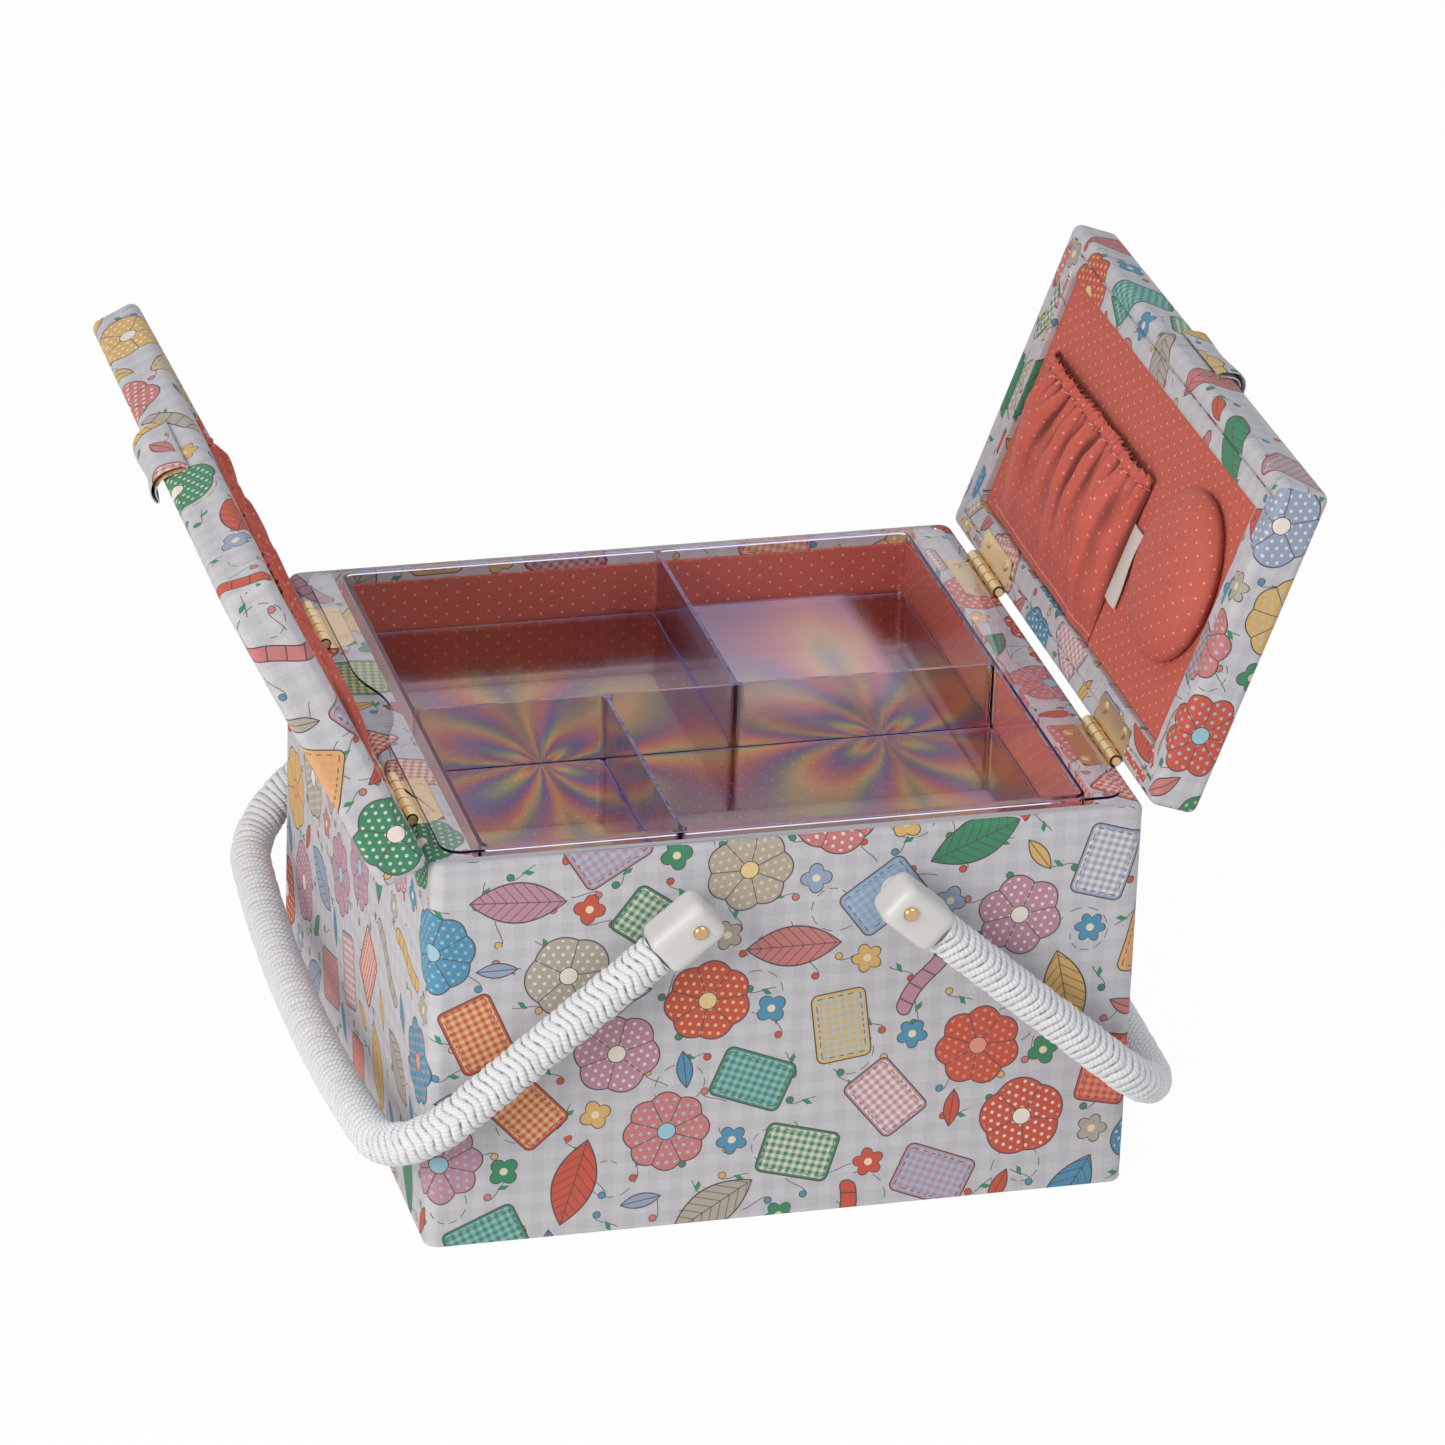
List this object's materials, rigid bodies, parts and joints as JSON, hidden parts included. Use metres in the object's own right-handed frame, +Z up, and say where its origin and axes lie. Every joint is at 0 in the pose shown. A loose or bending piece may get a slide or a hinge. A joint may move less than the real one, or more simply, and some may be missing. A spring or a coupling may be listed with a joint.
{
  "type": "sewing box",
  "caption": "Fabric-covered sewing box with two hinged lids, a clear lift-out sorting tray and two swinging cord-wrapped carrying handles.",
  "frame": {"origin": "middle of the underside", "axes": "+X to the right, -Y to the front, +Z up, box standing"},
  "size_m": [0.4525, 0.329, 0.3],
  "materials": {
    "printed_cloth": "woven cotton with a printed pattern",
    "spotted_lining": "woven cotton with pale pin dots",
    "coral_cloth": "woven cotton, gathered",
    "white_cloth": "woven tape",
    "white_cord": "cotton cord, wound and hitched",
    "white_plastic": "semi-gloss moulded",
    "clear_plastic": "clear moulded polystyrene",
    "brass": "brass plated steel",
    "board": "fibreboard"
  },
  "bodies": {
    "box": {"base_board": "board", "front_wall": "printed_cloth", "back_wall": "printed_cloth", "left_wall": "printed_cloth", "right_wall": "printed_cloth", "left_rail": "printed_cloth", "right_rail": "printed_cloth", "floor_lining": "spotted_lining", "front_lining": "spotted_lining", "back_lining": "spotted_lining", "left_lining": "spotted_lining", "right_lining": "spotted_lining", "left_box_leaves": "brass", "right_box_leaves": "brass", "left_hinge_pins": "brass", "right_hinge_pins": "brass", "left_box_screws": "brass", "right_box_screws": "brass", "left_pivot_screws": "brass", "right_pivot_screws": "brass", "left_spacers": "white_plastic", "right_spacers": "white_plastic", "wall_inserts": "brass"},
    "left_lid": {"left_lid_board": "printed_cloth", "left_lid_frame": "printed_cloth", "left_lid_lining": "spotted_lining", "left_pocket": "coral_cloth", "left_pocket_elastic": "white_cloth", "left_pull_tab": "printed_cloth", "left_lid_leaves": "brass", "left_lid_screws": "brass"},
    "right_lid": {"right_lid_board": "printed_cloth", "right_lid_frame": "printed_cloth", "right_lid_lining": "spotted_lining", "right_pocket": "coral_cloth", "right_pocket_elastic": "white_cloth", "right_pull_tab": "printed_cloth", "right_lid_leaves": "brass", "right_lid_screws": "brass", "pincushion": "coral_cloth", "side_tag": "white_cloth"},
    "tray": {"tray": "clear_plastic"},
    "left_handle": {"left_handle_core": "white_plastic", "left_handle_wrap": "white_cord", "left_front_cap": "white_plastic", "left_back_cap": "white_plastic"},
    "right_handle": {"right_handle_core": "white_plastic", "right_handle_wrap": "white_cord", "right_front_cap": "white_plastic", "right_back_cap": "white_plastic"}
  },
  "joints": [
    {"name": "left_lid_hinge", "type": "hinge", "parent": "box", "child": "left_lid", "pos_m": [-0.1425, 0, 0.1688], "axis": [0, -1, 0], "range_deg": [-116.5, 0]},
    {"name": "right_lid_hinge", "type": "hinge", "parent": "box", "child": "right_lid", "pos_m": [0.1425, 0, 0.1688], "axis": [0, 1, 0], "range_deg": [-109.5, 0]},
    {"name": "left_handle_pivot", "type": "hinge", "parent": "box", "child": "left_handle", "pos_m": [-0.042, 0, 0.141], "axis": [0, 1, 0], "range_deg": [0, 52]},
    {"name": "right_handle_pivot", "type": "hinge", "parent": "box", "child": "right_handle", "pos_m": [0.042, 0, 0.141], "axis": [0, -1, 0], "range_deg": [0, 56]},
    {"name": "tray_lift", "type": "slide", "parent": "box", "child": "tray", "axis": [0, 0, 1], "range_m": [0, 0.12]}
  ]
}
